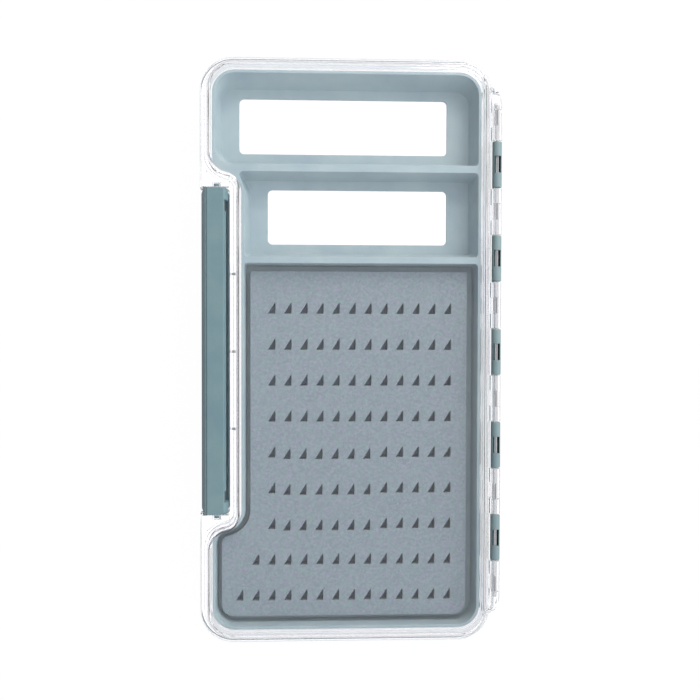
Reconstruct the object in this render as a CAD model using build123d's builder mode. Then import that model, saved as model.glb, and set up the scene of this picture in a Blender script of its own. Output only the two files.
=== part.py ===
from build123d import *
from math import cos, radians, sin, sqrt, tan
import os

# Slim see-through fly box. X runs from the latch side to the hinge side, Y runs
# along the hinge, Z points up from the underside. All sizes are millimetres.

# Case: a base and a lid that meet at flat flanges
case_length = 187.2
flange_width = 93.66
base_height = 11.0
lid_height = 7.0
corner_radius = 10.7
plate_thickness = 1.5
wall_inset = 1.95
wall_shift = 0.3
wall_thickness = 1.1
base_flange_thickness = 2.4
lid_flange_thickness = 2.8
edge_round = 1.3
flange_edge_round = 0.35
seam_clearance = 0.05

# Step in the latch side, where the latch bar lies
recess_depth = 9.35
recess_length = 104.0
recess_corner_radius = 1.5
shoulder_slope = radians(14)
shoulder_rise = 1.5
shoulder_outer_radius = 9.1
shoulder_inner_radius = 2.2
smallest_radius = 0.4

# Seal: a bead on the base that faces a ring in the lid's groove
seal_inset = 1.65
bead_width = 0.5
bead_height = 0.5
groove_width = 1.7
groove_depth = 1.8
ring_side_clearance = 0.1
ring_bead_gap = 0.05

# Hinge: two wires side by side in height, joined by short links
pin_diameter = 1.5
pin_clearance = 0.05
pin_end_margin = 14.0
pin_end_round = 0.3
pin_end_clearance = 0.2
pin_offset = 1.65
pin_height_from_seam = 2.5
barrel_radius = 1.5
barrel_inner_edge = 0.15
rail_end_margin = 8.7
rail_taper_length = 6.5
rail_root = 0.6
link_count = 5
link_end_margin = 33.35
link_length = 14.8
link_end_clearance = 0.3
link_window_width = 2.05
link_window_length = 5.3
link_web_thickness = 1.2
link_edge_round = 0.4
rail_window_width = 2.5
rail_window_length = 5.2

# Latch bar
latch_pivot_from_edge = 5.35
latch_pivot_above_seam = 3.6
latch_end_clearance = 0.25
latch_top_height = 2.9
latch_barrel_radius = 3.7
latch_barrel_end_round = 0.8
latch_strip_radius = 2.95
latch_strip_edge = 2.5
latch_cap_length = 3.9
latch_notch_length = 3.3
latch_inner_corner = 1.8
latch_outer_corner = 0.8
latch_face_top = 3.5
latch_face_bottom = 5.7
latch_lip_drop = 9.4
latch_lip_thickness = 1.4
latch_lip_round = 0.55
latch_wall = 1.5
latch_round = 0.25
latch_groove_from_edge = 0.42
latch_groove_width = 0.3
latch_groove_depth = 0.25
hook_clearance = 0.15
hook_thickness = 1.5
hook_tip_angle = radians(29)
stub_diameter = 2.6
stub_clearance = 0.1
stub_length = 1.3

# Catch ledge on the base and the ears on the lid
ledge_reach = 2.55
ledge_radius = 6.3
ledge_top_drop = 0.2
ledge_end_margin = 3.4
ear_inset = 0.9
ear_thickness = 1.3
ear_block_length = 7.2
ear_height = 6.2
ear_round = 1.0
pocket_wall = 2.3
pocket_reach = 5.0
pocket_length = 3.8
pocket_floor = 0.8
rib_pitch = 24.7
rib_thickness = 0.8
rib_height = 1.9
rib_edge_gap = 0.15

# Grey insert with three compartments
insert_clearance = 0.3
insert_drop = 0.2
insert_wall = 0.9
wall_draft = 1.7
end_wall_draft = 3.35
mat_wall_draft = 0.5
divider_1_y = 59.05
divider_1_width = 2.3
divider_2_y = 29.55
divider_2_width = 2.05
divider_corner_radius = 1.2
first_pocket_low_radius = 5.5
second_pocket_flare = 2.0
second_pocket_flare_length = 6.1
second_pocket_flare_radius = 5.0
window_left_margin = 5.7
window_right_margin = 7.35
window_end_margin = 3.0
window_radius = 1.6

# Slit mat
mat_thickness = 4.5
mat_inset = 2.35
mat_shift = -0.55
adhesive_thickness = 0.1
adhesive_inset = 1.0
mat_corner_radius = 1.2
slit_width = 2.33
slit_height = 3.68
slit_bulge = 0.12
slit_pitch = 5.25
row_pitch = 11.78
slit_left_margin = 5.2
slit_right_margin = 5.27
slit_top_margin = 13.84
slit_low_margin = 4.5
short_rows = 7
shifted_columns = (1, 6)
shifted_rows = (4, 6)
shifted_block_x = -0.3
shifted_block_y = -0.55

# Places worked out from the sizes above. A cut that goes right through reaches
# as far as the case is high.
latch_overhang = max(latch_face_bottom - latch_pivot_from_edge, 0)
overall_width = latch_overhang + flange_width + pin_offset + barrel_radius
left_edge = -overall_width / 2 + latch_overhang
right_edge = left_edge + flange_width
seam = base_height
case_height = base_height + lid_height
cut_reach = case_height
half_length = case_length / 2
inner_wall_inset = wall_inset + wall_thickness
insert_inset = inner_wall_inset + insert_clearance
pocket_inset = insert_inset + insert_wall
insert_top = seam - insert_drop
insert_bottom = plate_thickness
pocket_floor_top = insert_bottom + insert_wall
pin_x = right_edge + pin_offset
pin_length = case_length - 2 * pin_end_margin
rail_length = case_length - 2 * rail_end_margin
rail_full_length = rail_length - 2 * rail_taper_length
link_pitch = (case_length - 2 * link_end_margin) / (link_count - 1)
ledge_length = recess_length - 2 * ledge_end_margin
base_pin_z = seam - pin_height_from_seam
lid_pin_z = seam + pin_height_from_seam
pin_bore_radius = pin_diameter / 2 + pin_clearance
pivot_x = left_edge + latch_pivot_from_edge
pivot_z = seam + latch_pivot_above_seam
recess_edge = left_edge + recess_depth
wall_left = left_edge + wall_shift
wall_right = right_edge + wall_shift
wall_step = recess_edge + wall_shift
latch_half_length = recess_length / 2 - latch_end_clearance


def case_outline(inset):
    """Wall line of the case, moved in by inset: a rounded rectangle that steps in
    along the latch, with a sloped and rounded shoulder at each end of the step."""
    left = wall_left + inset
    right = wall_right - inset
    end = half_length - inset
    step = left + recess_depth
    low = recess_length / 2 + shoulder_rise
    low = low + inset * (1 / cos(shoulder_slope) - tan(shoulder_slope))
    high = low + recess_depth * tan(shoulder_slope)
    corner = max(corner_radius - inset, smallest_radius)
    outer = max(shoulder_outer_radius - inset, smallest_radius)
    inner = shoulder_inner_radius + inset
    latch_side = [(left, high), (step, low), (step, -low), (left, -high)]
    with BuildSketch() as outline:
        with BuildLine():
            FilletPolyline(
                (right, -end),
                (right, end),
                (left, end),
                *latch_side,
                (left, -end),
                radius=[corner, corner, corner, outer, inner, inner, outer, corner],
                close=True,
            )
        make_face()
    return outline.sketch


def flange_outline():
    """Flange line: the full rounded rectangle less the square-ended latch recess."""
    with BuildSketch() as outline:
        with Locations(((left_edge + right_edge) / 2, 0)):
            RectangleRounded(flange_width, case_length, corner_radius)
        with Locations((left_edge, 0)):
            Rectangle(2 * recess_depth, recess_length, mode=Mode.SUBTRACT)
        fillet(outline.vertices().sort_by_distance((recess_edge, 0))[0:2], recess_corner_radius)
    return outline.sketch


def flange_plate(thickness):
    """Flange that stands on the seam, or hangs under it where thickness is
    negative, with its far edge rounded."""
    with BuildPart() as plate:
        with BuildSketch(Plane.XY.offset(seam)):
            add(flange_outline())
        extrude(amount=thickness)
        far_face = plate.faces().sort_by_distance((0, 0, seam + thickness))[0]
        fillet(far_face.edges(), flange_edge_round)
    return plate.part


def side_plane(y):
    """Section plane across the case at y: its x is the case's X, its y is Z."""
    return Plane(origin=(0, y, 0), x_dir=(1, 0, 0), z_dir=(0, -1, 0))


def link_places():
    """Middle of each hinge link along Y."""
    first = -(link_count - 1) / 2
    return [(first + index) * link_pitch for index in range(link_count)]


def rail_window_places():
    """Middle of each rail window: one beyond each link and one between links."""
    first = -link_count / 2
    return [(first + index) * link_pitch for index in range(link_count + 1)]


def hinge_rail(pin_z, web_low, web_high):
    """Rail along the hinge side: a barrel on a web, cut away at the links, with
    a bore for the wire and windows through which the wire shows."""
    rail_x = (right_edge - rail_root + pin_x) / 2
    with BuildPart() as rail:
        with BuildSketch(side_plane(rail_length / 2)):
            with Locations((pin_x, pin_z)):
                Circle(barrel_radius)
            with Locations((rail_x, (web_low + web_high) / 2)):
                Rectangle(pin_x - right_edge + rail_root, web_high - web_low)
        extrude(amount=rail_length)
        with BuildSketch(Plane.XY.offset(pin_z)):
            outer = pin_x + barrel_radius
            root = right_edge - rail_root
            full = rail_full_length / 2
            tip = rail_length / 2
            with BuildLine():
                Polyline((right_edge, tip), (root, tip), (root, -tip), (right_edge, -tip))
                TangentArc((outer, full), (right_edge, tip), tangent=(0, 1))
                TangentArc((outer, -full), (right_edge, -tip), tangent=(0, -1))
                Line((outer, full), (outer, -full))
            make_face()
        extrude(amount=cut_reach, both=True, mode=Mode.INTERSECT)
        with BuildSketch(Plane.XY.offset(pin_z)):
            with Locations([(right_edge, y) for y in link_places()]):
                link_room = link_length + 2 * link_end_clearance
                Rectangle(cut_reach, link_room, align=(Align.MIN, Align.CENTER))
            with Locations([(pin_x, y) for y in rail_window_places()]):
                Rectangle(rail_window_width, rail_window_length)
        extrude(amount=cut_reach, both=True, mode=Mode.SUBTRACT)
        # the bore ends just past the wire at one end and is open at the other
        bore_end = pin_length / 2 + pin_end_clearance
        with BuildSketch(side_plane(bore_end)):
            with Locations((pin_x, pin_z)):
                Circle(pin_bore_radius)
        extrude(amount=bore_end + half_length, mode=Mode.SUBTRACT)
    return rail.part


# Base shell
with BuildPart() as base_shell:
    with BuildSketch():
        add(case_outline(wall_inset))
    extrude(amount=base_height)
    fillet(base_shell.faces().sort_by(Axis.Z)[0].edges(), edge_round)
    add(flange_plate(-base_flange_thickness))
    with BuildSketch(Plane.XY.offset(plate_thickness)):
        add(case_outline(inner_wall_inset))
    extrude(amount=base_height, mode=Mode.SUBTRACT)
    # seal bead
    with BuildSketch(Plane.XY.offset(seam)):
        add(case_outline(seal_inset - bead_width / 2))
        add(case_outline(seal_inset + bead_width / 2), mode=Mode.SUBTRACT)
    extrude(amount=bead_height)
    # ledge that the latch hooks under, its underside round about the latch pivot
    with BuildSketch(side_plane(ledge_length / 2)):
        ledge_top = seam - ledge_top_drop
        with BuildLine():
            near_x = recess_edge - ledge_reach - pivot_x
            far_x = recess_edge - pivot_x
            middle_x = (near_x + far_x) / 2
            near_z = -sqrt(ledge_radius**2 - near_x**2)
            middle_z = -sqrt(ledge_radius**2 - middle_x**2)
            far_z = -sqrt(ledge_radius**2 - far_x**2)
            root_x = far_x + wall_inset / 2
            Polyline(
                (pivot_x + near_x, pivot_z + near_z),
                (pivot_x + near_x, ledge_top),
                (pivot_x + root_x, ledge_top),
                (pivot_x + root_x, pivot_z + far_z),
                (pivot_x + far_x, pivot_z + far_z),
            )
            ThreePointArc(
                (pivot_x + far_x, pivot_z + far_z),
                (pivot_x + middle_x, pivot_z + middle_z),
                (pivot_x + near_x, pivot_z + near_z),
            )
        make_face()
    extrude(amount=ledge_length)
    add(hinge_rail(base_pin_z, seam - base_flange_thickness, seam - barrel_inner_edge))
base_shell.part.label = "base_shell"

# Lid shell
with BuildPart() as lid_shell:
    with BuildSketch(Plane.XY.offset(seam)):
        add(case_outline(wall_inset))
    extrude(amount=lid_height)
    fillet(lid_shell.faces().sort_by(Axis.Z)[-1].edges(), edge_round)
    add(flange_plate(lid_flange_thickness))
    # blocks that carry the latch's pivot
    for side in (1, -1):
        ear_face = side * recess_length / 2
        block_end = side * (recess_length / 2 + ear_thickness + ear_block_length)
        with BuildSketch(Plane.XY.offset(seam)):
            block_width = recess_depth - ear_inset
            with Locations((recess_edge - block_width / 2, (ear_face + block_end) / 2)):
                block = Rectangle(block_width, abs(block_end - ear_face))
            fillet(block.vertices().sort_by_distance((left_edge, block_end))[0], ear_round)
        extrude(amount=ear_height)
    with BuildSketch(Plane.XY.offset(seam)):
        add(case_outline(inner_wall_inset))
    extrude(amount=lid_height - plate_thickness, mode=Mode.SUBTRACT)
    # seal groove
    with BuildSketch(Plane.XY.offset(seam)):
        add(case_outline(seal_inset - groove_width / 2))
        add(case_outline(seal_inset + groove_width / 2), mode=Mode.SUBTRACT)
    extrude(amount=groove_depth, mode=Mode.SUBTRACT)
    # three-cornered pockets that lighten the blocks
    for side in (1, -1):
        pocket_y = side * (recess_length / 2 + ear_thickness)
        pocket_x = left_edge + pocket_wall
        with BuildSketch(Plane.XY.offset(seam + lid_flange_thickness + pocket_floor)):
            with BuildLine():
                Polyline(
                    (pocket_x, pocket_y),
                    (pocket_x + pocket_reach, pocket_y),
                    (pocket_x, pocket_y + side * pocket_length),
                    close=True,
                )
            make_face()
        extrude(amount=ear_height, mode=Mode.SUBTRACT)
    # pivot bores
    bore_half_length = recess_length / 2 + ear_thickness
    with BuildSketch(side_plane(bore_half_length)):
        with Locations((pivot_x, pivot_z)):
            Circle(stub_diameter / 2 + stub_clearance)
    extrude(amount=2 * bore_half_length, mode=Mode.SUBTRACT)
    # small ribs between the wall and the flange behind the latch
    for y in (-rib_pitch, 0, rib_pitch):
        with BuildSketch(side_plane(y + rib_thickness / 2)):
            with BuildLine():
                rib_foot = seam + lid_flange_thickness
                Polyline(
                    (recess_edge + rib_edge_gap, rib_foot),
                    (wall_step + wall_inset + wall_thickness / 2, rib_foot),
                    (wall_step + wall_inset + wall_thickness / 2, rib_foot + rib_height),
                    close=True,
                )
            make_face()
        extrude(amount=rib_thickness)
    # the lid rests on its ring, which keeps its flange just clear of the base
    with BuildSketch(Plane.XY.offset(seam)):
        add(flange_outline())
    extrude(amount=seam_clearance, mode=Mode.SUBTRACT)
    add(hinge_rail(lid_pin_z, seam + barrel_inner_edge, seam + lid_flange_thickness))
lid_shell.part.label = "lid_shell"

# Seal ring in the lid's groove
with BuildPart() as lid_gasket:
    ring_base = bead_height + ring_bead_gap
    half_ring = groove_width / 2 - ring_side_clearance
    with BuildSketch(Plane.XY.offset(seam + ring_base)):
        add(case_outline(seal_inset - half_ring))
        add(case_outline(seal_inset + half_ring), mode=Mode.SUBTRACT)
    extrude(amount=groove_depth - ring_base)
lid_gasket.part.label = "lid_gasket"


def pocket_outline(number, inset, lean=0, divider_corner=divider_corner_radius):
    """Outline of compartment 1, 2 or 3, moved in by inset from the compartment's
    mouth, its end wall by lean more. A negative inset is the wall's outside."""
    line = pocket_inset + inset
    left = wall_left + line
    right = wall_right - line
    step = left + recess_depth
    end = half_length - line
    corner = max(corner_radius - line, smallest_radius)
    small = max(divider_corner - inset, smallest_radius)
    low = recess_length / 2 + shoulder_rise
    low = low + line * (1 / cos(shoulder_slope) - tan(shoulder_slope))
    high = low + recess_depth * tan(shoulder_slope)
    if number == 1:
        floor_y = divider_1_y + divider_1_width / 2 + inset
        low_corner = max(first_pocket_low_radius - inset, smallest_radius)
        far_y = end - lean
        points = [(right, floor_y), (right, far_y), (left, far_y), (left, floor_y)]
        radii = [small, corner, corner, low_corner]
    elif number == 2:
        top_y = divider_1_y - divider_1_width / 2 - inset
        floor_y = divider_2_y + divider_2_width / 2 + inset
        bend_y = divider_1_y - divider_1_width / 2 - second_pocket_flare_length
        points = [(right, floor_y), (right, top_y), (step - second_pocket_flare, top_y)]
        points = points + [(step, bend_y), (step, floor_y)]
        radii = [small, small, small, second_pocket_flare_radius, small]
    else:
        top_y = divider_2_y - divider_2_width / 2 - inset
        points = [(right, -end), (right, top_y), (step, top_y)]
        points = points + [(step, -low), (left, -high), (left, -end)]
        outer = max(shoulder_outer_radius - line, smallest_radius)
        radii = [corner, small, small, shoulder_inner_radius + line, outer, corner]
    with BuildSketch() as outline:
        with BuildLine():
            FilletPolyline(*points, radius=radii, close=True)
        make_face()
    return outline.sketch


def side_draft(number):
    """How far the side walls of a compartment lean in from mouth to foot."""
    if number == 3:
        return mat_wall_draft
    return wall_draft


def end_lean(number):
    """The end wall of compartment 1 leans in more than the other walls."""
    if number == 1:
        return end_wall_draft - wall_draft
    return 0


def window_edges(number):
    """Left, right, low and high edge of the window in the floor of a compartment."""
    left_side = pocket_inset + wall_draft + window_left_margin
    right_side = pocket_inset + wall_draft + window_right_margin
    foot = wall_draft + window_end_margin
    if number == 1:
        low = divider_1_y + divider_1_width / 2 + foot
        high = half_length - pocket_inset - end_wall_draft - window_end_margin
        return wall_left + left_side, wall_right - right_side, low, high
    low = divider_2_y + divider_2_width / 2 + foot
    high = divider_1_y - divider_1_width / 2 - foot
    return wall_step + left_side, wall_right - right_side, low, high


# Grey insert: a rim plate with three tubs hung from it
with BuildPart() as tray_insert:
    with BuildSketch(Plane.XY.offset(insert_top)):
        add(case_outline(insert_inset))
    extrude(amount=-insert_wall)
    for number in (1, 2, 3):
        with BuildSketch(Plane.XY.offset(insert_top)):
            add(pocket_outline(number, -insert_wall))
        with BuildSketch(Plane.XY.offset(insert_bottom)):
            add(pocket_outline(number, side_draft(number) - insert_wall, end_lean(number)))
        loft(ruled=True)
    for number in (1, 2, 3):
        with BuildSketch(Plane.XY.offset(insert_top)):
            add(pocket_outline(number, 0))
        with BuildSketch(Plane.XY.offset(pocket_floor_top)):
            add(pocket_outline(number, side_draft(number), end_lean(number)))
        loft(ruled=True, mode=Mode.SUBTRACT)
    with BuildSketch(Plane.XY.offset(insert_bottom)):
        for number in (1, 2):
            low_x, high_x, low_y, high_y = window_edges(number)
            with Locations(((low_x + high_x) / 2, (low_y + high_y) / 2)):
                RectangleRounded(high_x - low_x, high_y - low_y, window_radius)
    extrude(amount=insert_wall, mode=Mode.SUBTRACT)
tray_insert.part.label = "tray_insert"

# Slit mat and the thin adhesive sheet under it, stuck down a little off centre
mat_bottom = pocket_floor_top + adhesive_thickness
with BuildPart() as mat_adhesive:
    with BuildSketch(Plane.XY.offset(pocket_floor_top)):
        with Locations((mat_shift, 0)):
            add(pocket_outline(3, mat_inset + adhesive_inset))
    extrude(amount=adhesive_thickness)
mat_adhesive.part.label = "mat_adhesive"

with BuildSketch() as slit:
    with BuildLine():
        Line((-slit_width, 0), (0, 0))
        ThreePointArc((0, 0), (slit_bulge, slit_height / 2), (0, slit_height))
        Line((0, slit_height), (-slit_width, 0))
    make_face()

mat_left = wall_step + pocket_inset + mat_inset + mat_shift
mat_right = wall_right - pocket_inset - mat_inset + mat_shift
mat_top_edge = divider_2_y - divider_2_width / 2 - mat_inset
mat_low_edge = -half_length + pocket_inset + mat_inset
room_across = mat_right - mat_left - slit_left_margin - slit_right_margin - slit_width
room_down = mat_top_edge - mat_low_edge - slit_top_margin - slit_low_margin
slit_columns = int(room_across / slit_pitch) + 1
slit_rows = int(room_down / row_pitch) + 1
slit_places = []
for row in range(slit_rows):
    extra_columns = max(0, row + 1 - short_rows)
    for column in range(-extra_columns, slit_columns):
        x = mat_right - slit_right_margin - (slit_columns - 1 - column) * slit_pitch
        y = mat_top_edge - slit_top_margin - row * row_pitch
        in_columns = shifted_columns[0] <= column <= shifted_columns[1]
        in_rows = shifted_rows[0] <= row <= shifted_rows[1]
        if in_columns and in_rows:
            x = x + shifted_block_x
            y = y + shifted_block_y
        slit_places.append((x, y))

with BuildPart() as slit_mat:
    with BuildSketch(Plane.XY.offset(mat_bottom)):
        with Locations((mat_shift, 0)):
            add(pocket_outline(3, mat_inset, divider_corner=mat_inset + mat_corner_radius))
        with Locations(slit_places):
            add(slit.sketch, mode=Mode.SUBTRACT)
    extrude(amount=mat_thickness)
slit_mat.part.label = "slit_mat"


def latch_plane(y):
    """Section plane across the latch at y, with its origin on the latch's pivot."""
    return Plane(origin=(pivot_x, y, pivot_z), x_dir=(1, 0, 0), z_dir=(0, -1, 0))


# Latch bar: a barrel that turns in the lid's ears, an outer face with a finger
# lip, and a hook that closes round the base's ledge
hook_in = ledge_radius + hook_clearance
hook_out = hook_in + hook_thickness
latch_wall_x = -latch_face_top + latch_wall
lip_x = -latch_face_bottom + latch_lip_thickness
channel_top = latch_top_height - latch_wall
with BuildPart() as latch:
    with BuildSketch(latch_plane(latch_half_length)):
        with BuildLine():
            top_x = sqrt(latch_barrel_radius**2 - latch_top_height**2)
            hook_root_z = -sqrt(hook_in**2 - latch_wall_x**2)
            lip_root_z = -sqrt(hook_out**2 - lip_x**2)
            tip_in = (hook_in * sin(hook_tip_angle), -hook_in * cos(hook_tip_angle))
            tip_out = (hook_out * sin(hook_tip_angle), -hook_out * cos(hook_tip_angle))
            Line((-latch_face_top, latch_top_height), (top_x, latch_top_height))
            ThreePointArc(
                (top_x, latch_top_height), (latch_barrel_radius, 0), (0, -latch_barrel_radius)
            )
            Polyline(
                (0, -latch_barrel_radius),
                (latch_wall_x, -latch_barrel_radius),
                (latch_wall_x, hook_root_z),
            )
            ThreePointArc((latch_wall_x, hook_root_z), (0, -hook_in), tip_in)
            Line(tip_in, tip_out)
            ThreePointArc(tip_out, (0, -hook_out), (lip_x, lip_root_z))
            Polyline(
                (lip_x, lip_root_z),
                (lip_x, -latch_lip_drop),
                (-latch_face_bottom, -latch_lip_drop),
                (-latch_face_top, latch_top_height),
            )
        make_face()
    extrude(amount=2 * latch_half_length)
    # outer top edge and the lip are rounded
    long_edges = latch.edges().filter_by(Axis.Y)
    top_edge = long_edges.group_by(Axis.Z)[-1].sort_by(Axis.X)[0]
    lip_edges = long_edges.group_by(Axis.Z)[0]
    fillet(top_edge, latch_round)
    fillet(lip_edges, latch_lip_round)
    # hollow behind the outer face, open towards the hook
    with BuildSketch(latch_plane(latch_half_length - latch_cap_length)):
        channel_x = latch_strip_radius - latch_wall
        with BuildLine():
            Polyline(
                (latch_wall_x, -latch_barrel_radius - hook_clearance),
                (latch_wall_x, channel_top),
                (channel_x, channel_top),
                (channel_x, -latch_barrel_radius - hook_clearance),
                close=True,
            )
        make_face()
    extrude(amount=2 * (latch_half_length - latch_cap_length), mode=Mode.SUBTRACT)
    # lower strip along the inner side, with a notch at each end of it
    strip_half_length = latch_half_length - latch_cap_length
    barrel_width = 2 * latch_barrel_radius
    with BuildSketch(latch_plane(strip_half_length)):
        with Locations((latch_strip_edge, 0)):
            Rectangle(barrel_width, barrel_width, align=(Align.MIN, Align.CENTER))
        Circle(latch_strip_radius, mode=Mode.SUBTRACT)
    extrude(amount=2 * strip_half_length, mode=Mode.SUBTRACT)
    notch_y = strip_half_length - latch_notch_length / 2
    with BuildSketch(Plane.XY.offset(pivot_z)):
        with Locations([(pivot_x + latch_strip_edge, y) for y in (notch_y, -notch_y)]):
            Rectangle(barrel_width, latch_notch_length, align=(Align.MIN, Align.CENTER))
    extrude(amount=latch_barrel_radius, both=True, mode=Mode.SUBTRACT)
    # corners rounded in plan
    with BuildSketch(Plane.XY.offset(pivot_z)):
        outer_x = pivot_x - latch_face_bottom
        inner_x = pivot_x + hook_out * sin(hook_tip_angle)
        with BuildLine():
            FilletPolyline(
                (outer_x, latch_half_length),
                (outer_x, -latch_half_length),
                (inner_x, -latch_half_length),
                (inner_x, latch_half_length),
                radius=2 * [latch_outer_corner] + 2 * [latch_inner_corner],
                close=True,
            )
        make_face()
    extrude(amount=cut_reach, both=True, mode=Mode.INTERSECT)
    # barrel ends rounded about the pivot, to turn clear of the recess corners
    end_round = latch_barrel_end_round
    for side in (1, -1):
        end_y = side * latch_half_length
        end_z = pivot_z + latch_barrel_radius
        with BuildSketch(Plane.YZ.offset(pivot_x)):
            with Locations((end_y, end_z)):
                Rectangle(2 * end_round, 2 * end_round)
            with Locations((end_y - side * end_round, end_z - end_round)):
                Circle(end_round, mode=Mode.SUBTRACT)
        pivot_axis = Axis((pivot_x, 0, pivot_z), (0, 1, 0))
        revolve(axis=pivot_axis, revolution_arc=180, mode=Mode.SUBTRACT)
    # shallow groove near the outer top edge
    with BuildSketch(latch_plane(latch_half_length)):
        with Locations((-latch_face_top + latch_groove_from_edge, latch_top_height)):
            Rectangle(latch_groove_width, 2 * latch_groove_depth)
    extrude(amount=2 * latch_half_length, mode=Mode.SUBTRACT)
    # pivot stubs
    with BuildSketch(latch_plane(latch_half_length + stub_length)):
        Circle(stub_diameter / 2)
    extrude(amount=stub_length + latch_cap_length / 2)
    with BuildSketch(latch_plane(-latch_half_length + latch_cap_length / 2)):
        Circle(stub_diameter / 2)
    extrude(amount=stub_length + latch_cap_length / 2)
latch.part.label = "latch"

# Hinge links: a block round both wires, with a window over each wire
link_parts = []
for number, y in enumerate(link_places(), start=1):
    with BuildPart() as hinge_link:
        with BuildSketch(side_plane(y + link_length / 2)):
            with Locations((pin_x, seam)):
                SlotCenterToCenter(2 * pin_height_from_seam, 2 * barrel_radius, rotation=90)
        extrude(amount=link_length)
        ends = hinge_link.faces().filter_by(Axis.Y).edges()
        fillet(ends, link_edge_round)
        with BuildSketch(side_plane(y + link_length / 2)):
            with Locations((pin_x, base_pin_z), (pin_x, lid_pin_z)):
                Circle(pin_bore_radius)
        extrude(amount=link_length, mode=Mode.SUBTRACT)
        for side in (1, -1):
            with BuildSketch(Plane.XY.offset(seam + side * link_web_thickness / 2)):
                with Locations((pin_x, y)):
                    Rectangle(link_window_width, link_window_length)
            extrude(amount=side * cut_reach, mode=Mode.SUBTRACT)
    hinge_link.part.label = f"hinge_clip_{number}"
    link_parts.append(hinge_link.part)


def hinge_wire(pin_z):
    """Straight wire with rounded ends that runs through the rail and the links."""
    with BuildPart() as wire:
        with BuildSketch(side_plane(pin_length / 2)):
            with Locations((pin_x, pin_z)):
                Circle(pin_diameter / 2)
        extrude(amount=pin_length)
        fillet(wire.edges().filter_by(GeomType.CIRCLE), pin_end_round)
    return wire.part


lid_hinge_pin = hinge_wire(lid_pin_z)
lid_hinge_pin.label = "lid_hinge_pin"
base_hinge_pin = hinge_wire(base_pin_z)
base_hinge_pin.label = "base_hinge_pin"

pieces = [
    base_shell.part,
    lid_shell.part,
    lid_gasket.part,
    tray_insert.part,
    mat_adhesive.part,
    slit_mat.part,
    latch.part,
    lid_hinge_pin,
    base_hinge_pin,
]
os.makedirs("parts", exist_ok=True)
for piece in pieces + link_parts:
    export_step(piece, f"parts/{piece.label}.step")
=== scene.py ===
"""Slim see-through fly box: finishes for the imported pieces, and meshes with rounder
edges for the two soft ones.

The file is laid out as an add-on. Each operator dresses one piece or group of
like pieces, the panel lists them, and main() runs them in order.
"""

import math

import bpy
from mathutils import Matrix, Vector


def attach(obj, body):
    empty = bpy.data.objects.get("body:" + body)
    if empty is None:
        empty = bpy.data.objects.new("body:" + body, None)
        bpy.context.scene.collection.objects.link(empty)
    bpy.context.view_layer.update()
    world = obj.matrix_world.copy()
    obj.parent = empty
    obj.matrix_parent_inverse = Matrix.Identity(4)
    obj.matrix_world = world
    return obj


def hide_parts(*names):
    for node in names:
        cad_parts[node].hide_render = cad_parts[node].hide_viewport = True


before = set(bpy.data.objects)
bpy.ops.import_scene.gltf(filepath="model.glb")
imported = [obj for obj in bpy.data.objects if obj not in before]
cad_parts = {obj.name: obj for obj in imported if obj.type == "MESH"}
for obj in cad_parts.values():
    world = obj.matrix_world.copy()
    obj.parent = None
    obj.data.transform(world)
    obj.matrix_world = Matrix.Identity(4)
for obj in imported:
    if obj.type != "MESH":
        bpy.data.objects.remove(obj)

bl_info = {
    "name": "Slim Fly Box",
    "version": (1, 0, 0),
    "blender": (4, 5, 0),
    "location": "View3D > Sidebar > Fly Box",
    "description": "Dresses a see-through fly box and sets up its studio",
    "category": "Object",
}

MM = 0.001
CASE_NODES = ("base_shell", "lid_shell")
CLIP_NODES = tuple(sorted(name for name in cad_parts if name.startswith("hinge_clip")))
WIRE_NODES = ("lid_hinge_pin", "base_hinge_pin")

# Noise keeps mostly between these two values, so a pattern is stretched from them
NOISE_LOW = 0.3
NOISE_HIGH = 0.7

# Moulded and cast edges look rounded by this much
EDGE_LOOK = 0.3 * MM
EDGE_SAMPLES = 4


# --------------------------------------------------------------- small helpers


def linear(hex_colour):
    """An sRGB hex colour such as 0xA0B0C0 as linear RGBA."""
    channels = [(hex_colour >> shift & 0xFF) / 255 for shift in (16, 8, 0)]
    curve = [c / 12.92 if c <= 0.04045 else ((c + 0.055) / 1.055) ** 2.4 for c in channels]
    return (*curve, 1.0)


def tinted(colour, red, green, blue):
    """A linear colour with its channels scaled, as RGBA no brighter than white."""
    scaled = [min(channel * share, 1.0) for channel, share in zip(colour, (red, green, blue))]
    return (*scaled, 1.0)


def repeats(size_mm):
    """Scale of a pattern in Object coordinates whose features are size_mm across."""
    return 1 / (size_mm * MM)


def add(tree, kind, inputs=(), **settings):
    """Adds a node with its settings and inputs.

    The inputs are a dict by name or number, or a tuple that fills them from the
    first on. A node or a socket is linked, a node by its first output, and
    anything else is set as the input's own value.
    """
    node = tree.nodes.new(kind)
    for name, value in settings.items():
        setattr(node, name, value)
    named = inputs if isinstance(inputs, dict) else dict(enumerate(inputs))
    for name, value in named.items():
        if isinstance(value, bpy.types.Node):
            value = value.outputs[0]
        if isinstance(value, bpy.types.NodeSocket):
            tree.links.new(value, node.inputs[name])
        else:
            node.inputs[name].default_value = value
    return node


def empty_material(name):
    """A node material with nothing in its tree yet."""
    material = bpy.data.materials.new(name)
    material.use_nodes = True
    material.node_tree.nodes.clear()
    return material, material.node_tree


def dress(names, material):
    """Gives CAD nodes a material."""
    for name in names:
        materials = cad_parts[name].data.materials
        materials.clear()
        materials.append(material)


def soft_copy(node_name, piece_name, body, material):
    """A new piece with the mesh of a CAD node, which it replaces. Its faces are
    joined along their shared edges, so that a bevel after this finds the edges."""
    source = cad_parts[node_name]
    piece = bpy.data.objects.new(piece_name, source.data.copy())
    bpy.context.scene.collection.objects.link(piece)
    piece.data.materials.clear()
    piece.data.materials.append(material)
    piece.modifiers.new("joined_faces", "WELD").merge_threshold = 0.001 * MM
    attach(piece, body)
    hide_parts(node_name)
    return piece


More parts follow.
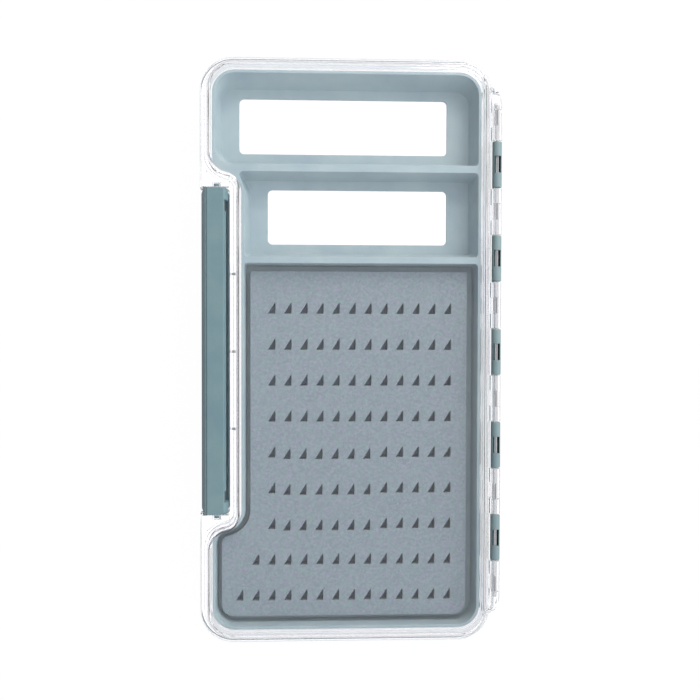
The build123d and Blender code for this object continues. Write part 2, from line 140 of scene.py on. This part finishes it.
def round_edges(piece, width, segments):
    """Rounds a piece's sharp edges."""
    modifier = piece.modifiers.new("soft_edges", "BEVEL")
    modifier.width = width
    modifier.segments = segments
    modifier.limit_method = "ANGLE"
    modifier.angle_limit = math.radians(40)


# ------------------------------------------------------------------- materials


def clear_polycarbonate(colour):
    """Polycarbonate moulded in a polished tool: clear, hard and glossy, with a
    faint slow haze that softens what it mirrors here and there."""
    material, tree = empty_material("clear_polycarbonate")
    place = add(tree, "ShaderNodeTexCoord").outputs["Object"]
    haze = add(
        tree, "ShaderNodeTexNoise", {"Vector": place, "Scale": repeats(9.0), "Detail": 3.0}
    )
    shell = add(
        tree,
        "ShaderNodeBsdfPrincipled",
        {
            "Base Color": (*colour, 1.0),
            "Transmission Weight": 1.0,
            "IOR": 1.585,
            "Roughness": add(
                tree, "ShaderNodeMapRange", (haze, NOISE_LOW, NOISE_HIGH, 0.0, 0.02)
            ),
        },
    )
    # light on its way to the insert passes straight through the thin walls
    path = add(tree, "ShaderNodeLightPath").outputs
    passing = add(tree, "ShaderNodeBsdfTransparent", {"Color": linear(0xF8F9FA)})
    inner = add(tree, "ShaderNodeMixShader", (path["Is Diffuse Ray"], shell, passing))
    outer = add(tree, "ShaderNodeMixShader", (path["Is Shadow Ray"], inner, passing))
    add(tree, "ShaderNodeOutputMaterial", {"Surface": outer})
    return material


def moulded_abs(name, colour, sheen_low, sheen_high):
    """ABS moulded in a spark-eroded tool: opaque and satin, with a grain of about
    0.12 mm, drawn at 0.4 mm so that it shows, and slow cloudy flow marks."""
    material, tree = empty_material(name)
    place = add(tree, "ShaderNodeTexCoord").outputs["Object"]
    cloud = add(
        tree,
        "ShaderNodeTexNoise",
        {"Vector": place, "Scale": repeats(14.0), "Detail": 5.0, "Roughness": 0.62},
    )
    grain = add(
        tree,
        "ShaderNodeTexNoise",
        {"Vector": place, "Scale": repeats(0.4), "Detail": 2.0, "Roughness": 0.6},
    )
    share = add(tree, "ShaderNodeMapRange", (cloud, NOISE_LOW, NOISE_HIGH, 0.0, 1.0))
    deep = tinted(colour, 0.88, 0.91, 0.96)
    pale = tinted(colour, 1.14, 1.12, 1.08)
    flow = add(tree, "ShaderNodeMix", {0: share, 6: deep, 7: pale}, data_type="RGBA")
    edge = add(tree, "ShaderNodeBevel", {"Radius": EDGE_LOOK}, samples=EDGE_SAMPLES)
    relief = add(
        tree,
        "ShaderNodeBump",
        {"Height": grain, "Distance": 0.02 * MM, "Strength": 0.35, "Normal": edge},
    )
    body = add(
        tree,
        "ShaderNodeBsdfPrincipled",
        {
            "Base Color": flow.outputs[2],
            "Roughness": add(
                tree,
                "ShaderNodeMapRange",
                (grain, NOISE_LOW, NOISE_HIGH, sheen_low, sheen_high),
            ),
            "IOR": 1.54,
            "Normal": relief,
        },
    )
    add(tree, "ShaderNodeOutputMaterial", {"Surface": body})
    return material


def silicone_rubber(colour):
    """Cast silicone rubber with a matt skin and no shine to speak of: slow
    clouding, and a speckle of about 0.3 mm, drawn at 0.75 mm and tinted in
    patches of 1.1 mm so that it shows."""
    material, tree = empty_material("silicone_rubber")
    place = add(tree, "ShaderNodeTexCoord").outputs["Object"]
    speckle = add(
        tree,
        "ShaderNodeTexNoise",
        {"Vector": place, "Scale": repeats(0.75), "Detail": 3.0, "Roughness": 0.8},
    )
    patches = add(
        tree,
        "ShaderNodeTexNoise",
        {"Vector": place, "Scale": repeats(1.1), "Detail": 2.0, "Roughness": 0.7},
    )
    cloud = add(
        tree,
        "ShaderNodeTexNoise",
        {"Vector": place, "Scale": repeats(9.0), "Detail": 3.0, "Roughness": 0.6},
    )
    violet = tinted(colour, 1.42, 1.16, 1.32)
    leaf = tinted(colour, 1.12, 1.32, 1.08)
    deep = tinted(colour, 0.74, 0.78, 0.82)
    leafy = add(tree, "ShaderNodeMapRange", (patches, 0.4, 0.6, 0.0, 1.0))
    pale = add(tree, "ShaderNodeMix", {0: leafy, 6: violet, 7: leaf}, data_type="RGBA")
    clouded = add(tree, "ShaderNodeMapRange", (cloud, NOISE_LOW, NOISE_HIGH, 0.0, 0.4))
    shade = add(
        tree, "ShaderNodeMix", {0: clouded, 6: (*colour, 1.0), 7: deep}, data_type="RGBA"
    )
    speckled = add(tree, "ShaderNodeMapRange", (speckle, 0.4, 0.62, 0.0, 1.0))
    skin = add(
        tree,
        "ShaderNodeMix",
        {0: speckled, 6: shade.outputs[2], 7: pale.outputs[2]},
        data_type="RGBA",
    )
    edge = add(tree, "ShaderNodeBevel", {"Radius": EDGE_LOOK}, samples=EDGE_SAMPLES)
    relief = add(
        tree,
        "ShaderNodeBump",
        {"Height": speckle, "Distance": 0.03 * MM, "Strength": 0.5, "Normal": edge},
    )
    body = add(
        tree,
        "ShaderNodeBsdfPrincipled",
        {
            "Base Color": skin.outputs[2],
            "Roughness": add(
                tree, "ShaderNodeMapRange", (speckle, NOISE_LOW, NOISE_HIGH, 0.62, 0.78)
            ),
            "IOR": 1.41,
            "Normal": relief,
        },
    )
    add(tree, "ShaderNodeOutputMaterial", {"Surface": body})
    return material


def silicone_seal():
    """Extruded clear silicone cord: soft, glassy, and a little waxy on its skin."""
    material, tree = empty_material("silicone_seal")
    place = add(tree, "ShaderNodeTexCoord").outputs["Object"]
    film = add(
        tree, "ShaderNodeTexNoise", {"Vector": place, "Scale": repeats(2.5), "Detail": 2.0}
    )
    body = add(
        tree,
        "ShaderNodeBsdfPrincipled",
        {
            "Base Color": linear(0xFDFDFF),
            "Transmission Weight": 1.0,
            "IOR": 1.41,
            "Roughness": add(
                tree, "ShaderNodeMapRange", (film, NOISE_LOW, NOISE_HIGH, 0.03, 0.08)
            ),
        },
    )
    # light reaches what lies under the ring through it
    path = add(tree, "ShaderNodeLightPath").outputs
    passing = add(tree, "ShaderNodeBsdfTransparent", {"Color": linear(0xF3F3F6)})
    mix = add(tree, "ShaderNodeMixShader", (path["Is Shadow Ray"], body, passing))
    add(tree, "ShaderNodeOutputMaterial", {"Surface": mix})
    return material


def drawn_steel():
    """Stainless steel wire drawn through a die: bright, with marks along it that
    are about 0.02 mm wide, drawn at 0.15 mm so that they show."""
    material, tree = empty_material("drawn_steel")
    place = add(tree, "ShaderNodeTexCoord").outputs["Object"]
    along_wire = add(
        tree, "ShaderNodeMapping", {"Vector": place, "Scale": (1.0, 0.03, 1.0)}
    )
    marks = add(
        tree,
        "ShaderNodeTexNoise",
        {"Vector": along_wire, "Scale": repeats(0.15), "Detail": 3.0},
    )
    relief = add(
        tree, "ShaderNodeBump", {"Height": marks, "Distance": 0.01 * MM, "Strength": 0.4}
    )
    body = add(
        tree,
        "ShaderNodeBsdfPrincipled",
        {
            "Base Color": linear(0xD9DADC),
            "Metallic": 1.0,
            "Roughness": add(
                tree, "ShaderNodeMapRange", (marks, NOISE_LOW, NOISE_HIGH, 0.16, 0.3)
            ),
            "Normal": relief,
        },
    )
    add(tree, "ShaderNodeOutputMaterial", {"Surface": body})
    return material


def acrylic_adhesive():
    """Acrylic adhesive film on a slate blue liner: thin and a little cloudy, with
    trapped air in patches of 1.6 mm."""
    material, tree = empty_material("acrylic_adhesive")
    place = add(tree, "ShaderNodeTexCoord").outputs["Object"]
    bubbles = add(
        tree, "ShaderNodeTexNoise", {"Vector": place, "Scale": repeats(1.6), "Detail": 3.0}
    )
    share = add(tree, "ShaderNodeMapRange", (bubbles, NOISE_LOW, NOISE_HIGH, 0.0, 1.0))
    liner = add(
        tree,
        "ShaderNodeMix",
        {0: share, 6: linear(0x7596B4), 7: linear(0x8CABC6)},
        data_type="RGBA",
    )
    body = add(
        tree,
        "ShaderNodeBsdfPrincipled",
        {"Base Color": liner.outputs[2], "Roughness": 0.4, "IOR": 1.48},
    )
    add(tree, "ShaderNodeOutputMaterial", {"Surface": body})
    return material


# ------------------------------------------------------------------ properties


class FlyBoxColours(bpy.types.PropertyGroup):
    clear: bpy.props.FloatVectorProperty(
        name="Case", description="Tint of the clear case", subtype="COLOR",
        default=linear(0xFEFEFF)[:3], min=0.0, max=1.0,
    )
    insert: bpy.props.FloatVectorProperty(
        name="Insert", description="Colour of the moulded insert", subtype="COLOR",
        default=linear(0xA4B6BC)[:3], min=0.0, max=1.0,
    )
    mat: bpy.props.FloatVectorProperty(
        name="Slit mat", description="Colour of the slit mat", subtype="COLOR",
        default=linear(0x828E97)[:3], min=0.0, max=1.0,
    )
    latch: bpy.props.FloatVectorProperty(
        name="Latch", description="Colour of the latch bar", subtype="COLOR",
        default=linear(0x6D878E)[:3], min=0.0, max=1.0,
    )
    clips: bpy.props.FloatVectorProperty(
        name="Hinge clips", description="Colour of the hinge clips", subtype="COLOR",
        default=linear(0x7A8F93)[:3], min=0.0, max=1.0,
    )


class FlyBoxSizes(bpy.types.PropertyGroup):
    mat_edge: bpy.props.FloatProperty(
        name="Mat edge round", description="Rounding of the mat's cut edges",
        default=0.14 * MM, min=0.0, unit="LENGTH",
    )
    seal_edge: bpy.props.FloatProperty(
        name="Seal edge round", description="Rounding of the seal ring's edges",
        default=0.3 * MM, min=0.0, unit="LENGTH",
    )
    seal_gap: bpy.props.FloatProperty(
        name="Seal gap", description="How far the ring's skin stays off its groove",
        default=0.02 * MM, min=0.0, unit="LENGTH",
    )


# ------------------------------------------------------------------- operators


class FLYBOX_OT_case(bpy.types.Operator):
    """Dresses the clear base and lid"""

    bl_idname = "fly_box.case"
    bl_label = "Clear case"

    def execute(self, context):
        dress(CASE_NODES, clear_polycarbonate(context.scene.fly_box_colours.clear))
        return {"FINISHED"}


class FLYBOX_OT_seal(bpy.types.Operator):
    """Makes the soft seal ring in the lid"""

    bl_idname = "fly_box.seal"
    bl_label = "Seal ring"

    def execute(self, context):
        sizes = context.scene.fly_box_sizes
        ring = soft_copy("lid_gasket", "seal_ring", "lid", silicone_seal())
        round_edges(ring, sizes.seal_edge, 3)
        # the skin is drawn in, because clear faces that coincide render black
        skin = ring.modifiers.new("drawn_in", "DISPLACE")
        skin.strength = -sizes.seal_gap
        skin.mid_level = 0.0
        return {"FINISHED"}


class FLYBOX_OT_insert(bpy.types.Operator):
    """Dresses the moulded insert"""

    bl_idname = "fly_box.insert"
    bl_label = "Insert"

    def execute(self, context):
        colour = context.scene.fly_box_colours.insert
        dress(("tray_insert",), moulded_abs("moulded_abs_insert", colour, 0.42, 0.55))
        return {"FINISHED"}


class FLYBOX_OT_mat(bpy.types.Operator):
    """Makes the soft slit mat"""

    bl_idname = "fly_box.mat"
    bl_label = "Slit mat"

    def execute(self, context):
        scene = context.scene
        rubber = silicone_rubber(scene.fly_box_colours.mat)
        mat = soft_copy("slit_mat", "slit_mat_rubber", "base", rubber)
        round_edges(mat, scene.fly_box_sizes.mat_edge, 2)
        return {"FINISHED"}


class FLYBOX_OT_adhesive(bpy.types.Operator):
    """Dresses the adhesive sheet under the mat"""

    bl_idname = "fly_box.adhesive"
    bl_label = "Mat adhesive"

    def execute(self, context):
        dress(("mat_adhesive",), acrylic_adhesive())
        return {"FINISHED"}


class FLYBOX_OT_latch(bpy.types.Operator):
    """Dresses the latch bar"""

    bl_idname = "fly_box.latch"
    bl_label = "Latch"

    def execute(self, context):
        colour = context.scene.fly_box_colours.latch
        dress(("latch",), moulded_abs("moulded_abs_latch", colour, 0.38, 0.5))
        return {"FINISHED"}


class FLYBOX_OT_clips(bpy.types.Operator):
    """Dresses the hinge clips"""

    bl_idname = "fly_box.clips"
    bl_label = "Hinge clips"

    def execute(self, context):
        colour = context.scene.fly_box_colours.clips
        dress(CLIP_NODES, moulded_abs("moulded_abs_clip", colour, 0.4, 0.52))
        return {"FINISHED"}


class FLYBOX_OT_wires(bpy.types.Operator):
    """Dresses the two wires that the hinge clips turn on"""

    bl_idname = "fly_box.wires"
    bl_label = "Hinge wires"

    def execute(self, context):
        dress(WIRE_NODES, drawn_steel())
        return {"FINISHED"}


class FLYBOX_OT_stage(bpy.types.Operator):
    """Sets up the white floor, the light and the camera"""

    bl_idname = "fly_box.stage"
    bl_label = "Studio"

    def execute(self, context):
        make_floor()
        make_world()
        make_key_lamp()
        make_camera()
        context.scene.view_settings.view_transform = "Standard"
        # light is trapped for long inside clear edges before it comes out
        context.scene.cycles.max_bounces = 32
        context.scene.cycles.glossy_bounces = 24
        context.scene.cycles.transmission_bounces = 24
        return {"FINISHED"}


# ----------------------------------------------------------------------- stage

FLOOR_SIDE = 6.0
FLOOR_DROP = 0.2 * MM
FLOOR_SEEN = 0.95
FLOOR_GLOW = 1.03
FLOOR_GLOW_THROUGH = 0.17

AMBIENT_LEVEL = 1.05
AMBIENT_SLANT = 0.95

KEY_PLACE = (0.14, 0.28, 0.18)
KEY_SIDE = 0.16
KEY_WATTS = 0.64
KEY_COLOUR = 0xFFF3E5

CAMERA_PLACE = (-0.01952, 0.00354, 0.32257)
CAMERA_TURN = (math.radians(-1.396), math.radians(-2.518), math.radians(0.098))
CAMERA_LENS = 49.5
CAMERA_SHIFT = (0.025, 0.02)


def make_floor():
    """A white floor that shows as white where nothing shades it."""
    mesh = bpy.data.meshes.new("floor")
    half = FLOOR_SIDE / 2
    corners = [(-half, -half), (half, -half), (half, half), (-half, half)]
    mesh.from_pydata([(x, y, -FLOOR_DROP) for x, y in corners], [], [(0, 1, 2, 3)])
    floor = bpy.data.objects.new("floor", mesh)
    bpy.context.scene.collection.objects.link(floor)
    mesh.materials.append(white_paper())


def white_paper():
    """Matt studio paper: the eye, and clear plastic, see it as plain white, and it
    throws only half of the light back onto the object."""
    material, tree = empty_material("white_paper")
    path = add(tree, "ShaderNodeLightPath").outputs
    paper = add(tree, "ShaderNodeBsdfDiffuse", {"Color": linear(0xBCBCBC)})
    seen = add(tree, "ShaderNodeMath", (path["Is Camera Ray"], FLOOR_SEEN), operation="MULTIPLY")
    # rays that glance off the inside of a clear wall see the white as well
    inside = add(tree, "ShaderNodeMath", (path["Transmission Depth"], 1.0), operation="MINIMUM")
    glanced = add(tree, "ShaderNodeMath", (path["Is Glossy Ray"], inside), operation="MULTIPLY")
    through = add(
        tree, "ShaderNodeMath", (path["Is Transmission Ray"], glanced), operation="MAXIMUM"
    )
    share = add(tree, "ShaderNodeMath", (seen, through), operation="MAXIMUM")
    # white still shows as white past what four clear skins reflect away
    strength = add(
        tree,
        "ShaderNodeMath",
        (through, FLOOR_GLOW_THROUGH, FLOOR_GLOW),
        operation="MULTIPLY_ADD",
    )
    glow = add(tree, "ShaderNodeEmission", {"Strength": strength})
    mix = add(tree, "ShaderNodeMixShader", (share, paper, glow))
    add(tree, "ShaderNodeOutputMaterial", {"Surface": mix})
    return material


def make_world():
    """A white studio, a little cooler at the horizon, where clear edges pick it up,
    and dimmer straight overhead."""
    world = bpy.data.worlds.new("studio")
    world.use_nodes = True
    bpy.context.scene.world = world
    tree = world.node_tree
    tree.nodes.clear()
    direction = add(tree, "ShaderNodeTexCoord").outputs["Generated"]
    parts = add(tree, "ShaderNodeSeparateXYZ", {"Vector": direction}).outputs
    rise = add(tree, "ShaderNodeMapRange", (parts["Z"], 0.02, 0.3, 0.0, 1.0))
    walls = add(
        tree,
        "ShaderNodeMix",
        {0: rise, 6: linear(0xEEECF6), 7: linear(0xFFFFFF)},
        data_type="RGBA",
    )
    # overhead is dimmer where the lid's top mirrors it, so that the lid doesn't
    # veil what lies under it
    path = add(tree, "ShaderNodeLightPath").outputs
    above = add(tree, "ShaderNodeMapRange", (parts["Z"], 0.75, 0.92, 0.0, 1.0))
    outside = add(
        tree, "ShaderNodeMath", (path["Transmission Depth"], 0.5), operation="LESS_THAN"
    )
    overhead = add(tree, "ShaderNodeMath", (above, outside), operation="MULTIPLY")
    sky = add(
        tree,
        "ShaderNodeMix",
        {0: overhead, 6: walls.outputs[2], 7: linear(0x9C9CA0)},
        data_type="RGBA",
    )
    # what lights the solid pieces comes mostly from the hinge side
    soft = add(
        tree,
        "ShaderNodeMath",
        (parts["X"], AMBIENT_SLANT, AMBIENT_LEVEL),
        operation="MULTIPLY_ADD",
    )
    cool = add(
        tree,
        "ShaderNodeVectorMath",
        {0: linear(0xF8FCFF)[:3], "Scale": soft},
        operation="SCALE",
    )
    falling = add(
        tree,
        "ShaderNodeMix",
        {0: path["Is Diffuse Ray"], 6: sky.outputs[2], 7: cool},
        data_type="RGBA",
    )
    studio = add(
        tree, "ShaderNodeBackground", {"Color": falling.outputs[2], "Strength": 1.0}
    )
    white = add(
        tree, "ShaderNodeBackground", {"Color": linear(0xFFFFFF), "Strength": 1.0}
    )
    mix = add(tree, "ShaderNodeMixShader", (path["Is Camera Ray"], studio, white))
    add(tree, "ShaderNodeOutputWorld", {"Surface": mix})


def make_key_lamp():
    """A square soft lamp that looks at the middle of the box."""
    data = bpy.data.lights.new("key_lamp", "AREA")
    data.shape = "SQUARE"
    data.size = KEY_SIDE
    data.energy = KEY_WATTS
    data.color = linear(KEY_COLOUR)[:3]
    lamp = bpy.data.objects.new("key_lamp", data)
    lamp.location = KEY_PLACE
    lamp.rotation_euler = (-Vector(KEY_PLACE)).to_track_quat("-Z", "Y").to_euler()
    bpy.context.scene.collection.objects.link(lamp)


def make_camera():
    """The camera, almost straight above the closed box."""
    data = bpy.data.cameras.new("camera")
    data.lens = CAMERA_LENS
    data.shift_x, data.shift_y = CAMERA_SHIFT
    camera = bpy.data.objects.new("camera", data)
    camera.location = CAMERA_PLACE
    camera.rotation_euler = CAMERA_TURN
    bpy.context.scene.collection.objects.link(camera)
    bpy.context.scene.camera = camera


# ----------------------------------------------------------------------- panel


class FLYBOX_PT_panel(bpy.types.Panel):
    """Fly box pieces, colours and sizes"""

    bl_label = "Fly Box"
    bl_idname = "FLYBOX_PT_panel"
    bl_space_type = "VIEW_3D"
    bl_region_type = "UI"
    bl_category = "Fly Box"

    def draw(self, context):
        for group in (context.scene.fly_box_colours, context.scene.fly_box_sizes):
            for name in group.__annotations__:
                self.layout.prop(group, name)
        for operator in OPERATORS:
            self.layout.operator(operator.bl_idname)


OPERATORS = (
    FLYBOX_OT_case,
    FLYBOX_OT_seal,
    FLYBOX_OT_insert,
    FLYBOX_OT_mat,
    FLYBOX_OT_adhesive,
    FLYBOX_OT_latch,
    FLYBOX_OT_clips,
    FLYBOX_OT_wires,
    FLYBOX_OT_stage,
)
CLASSES = (FlyBoxColours, FlyBoxSizes, *OPERATORS, FLYBOX_PT_panel)


def register():
    for cls in CLASSES:
        bpy.utils.register_class(cls)
    bpy.types.Scene.fly_box_colours = bpy.props.PointerProperty(type=FlyBoxColours)
    bpy.types.Scene.fly_box_sizes = bpy.props.PointerProperty(type=FlyBoxSizes)


def unregister():
    del bpy.types.Scene.fly_box_sizes
    del bpy.types.Scene.fly_box_colours
    for cls in reversed(CLASSES):
        bpy.utils.unregister_class(cls)


def main():
    """Runs every operator in order."""
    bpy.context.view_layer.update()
    register()
    bpy.ops.fly_box.case()
    bpy.ops.fly_box.seal()
    bpy.ops.fly_box.insert()
    bpy.ops.fly_box.mat()
    bpy.ops.fly_box.adhesive()
    bpy.ops.fly_box.latch()
    bpy.ops.fly_box.clips()
    bpy.ops.fly_box.wires()
    bpy.ops.fly_box.stage()


if __name__ == "__main__":
    main()
